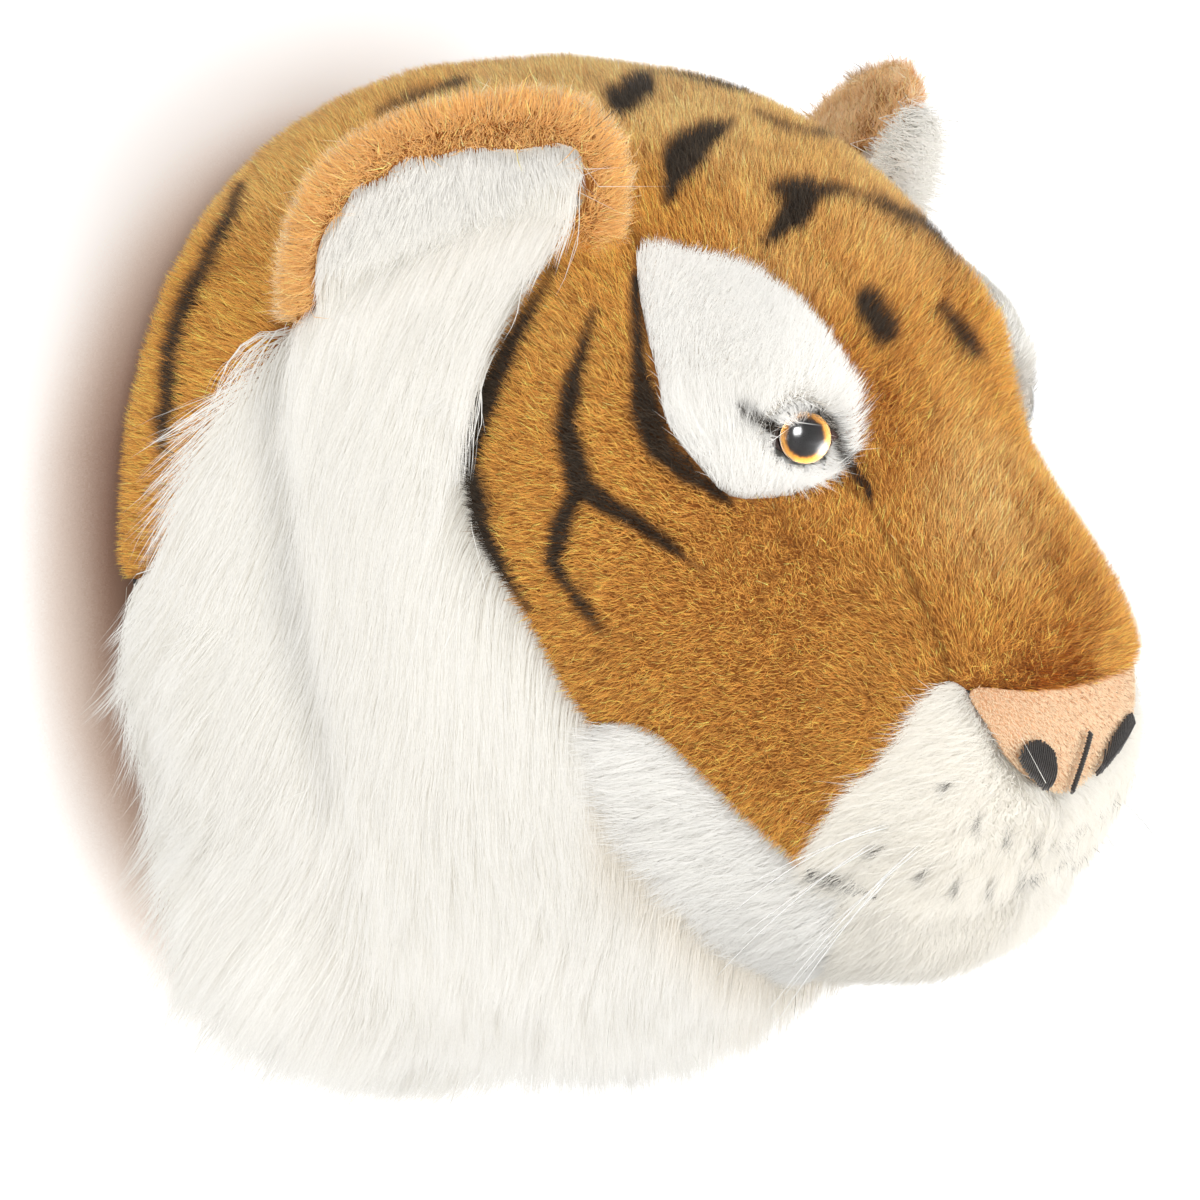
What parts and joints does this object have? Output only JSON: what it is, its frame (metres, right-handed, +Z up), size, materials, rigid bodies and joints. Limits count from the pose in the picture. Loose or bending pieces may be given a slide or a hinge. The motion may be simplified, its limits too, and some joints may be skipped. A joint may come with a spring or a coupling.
{
  "type": "plush trophy head",
  "caption": "Plush tiger head for a wall: stuffed plush panels with long white ruff, ears, safety eyes and whiskers on a backing board with a ring hanger.",
  "frame": {"origin": "on the flat rear face of the back cover, which lies on the wall, at the middle of the head's width", "axes": "+Y out of the rear face into the wall, so the animal looks along -Y; +Z up; +X towards the animal's left"},
  "size_m": [0.2468, 0.2625, 0.2969],
  "materials": {
    "orange_plush": "short orange pile with black sprayed stripes",
    "white_plush": "white pile, short on the face and long on the ruff",
    "velour": "very short peach velour",
    "thread": "black satin stitch",
    "amber": "amber iris with a black pupil, glossy",
    "brown_plastic": "dark brown, glossy",
    "clear": "clear, glossy",
    "nylon": "white filament, satin",
    "white_plastic": "moulded, matt",
    "fibre": "loose polyester fibre",
    "board": "pressed fibreboard, raw",
    "felt": "dark felt",
    "steel": "zinc plated"
  },
  "bodies": {
    "head": {"back_cover": "felt", "back_board": "board", "hanger_strap": "steel", "hanger_screw_1": "steel", "hanger_screw_2": "steel", "fibre_filling": "fibre", "neck_band": "orange_plush", "crown_panel": "orange_plush", "nose_panel": "velour", "nose_line": "thread", "chin_panel": "white_plush", "cheek_panel_right": "orange_plush", "cheek_panel_left": "orange_plush", "eye_patch_right": "white_plush", "eye_patch_left": "white_plush", "muzzle_pad_right": "white_plush", "muzzle_pad_left": "white_plush", "jaw_panel_right": "white_plush", "jaw_panel_left": "white_plush", "ruff_front_right": "white_plush", "ruff_front_left": "white_plush", "ruff_rear_right": "white_plush", "ruff_rear_left": "white_plush", "ear_back_right": "orange_plush", "ear_back_left": "orange_plush", "ear_lining_right": "white_plush", "ear_lining_left": "white_plush", "nostril_right": "thread", "nostril_left": "thread", "mouth_corner_right": "thread", "mouth_corner_left": "thread", "eye_backing_right": "brown_plastic", "eye_backing_left": "brown_plastic", "eye_iris_right": "amber", "eye_iris_left": "amber", "eye_dome_right": "clear", "eye_dome_left": "clear", "eye_washer_right": "white_plastic", "eye_washer_left": "white_plastic", "whisker_1_right": "nylon", "whisker_1_left": "nylon", "whisker_2_right": "nylon", "whisker_2_left": "nylon", "whisker_3_right": "nylon", "whisker_3_left": "nylon", "whisker_4_right": "nylon", "whisker_4_left": "nylon"},
    "ring": {"hanger_ring": "steel"}
  },
  "joints": [
    {"name": "hanger_ring_hinge", "type": "hinge", "parent": "head", "child": "ring", "pos_m": [0, -0.00475, 0.07], "axis": [-1, 0, 0], "range_deg": [0, 172]}
  ]
}
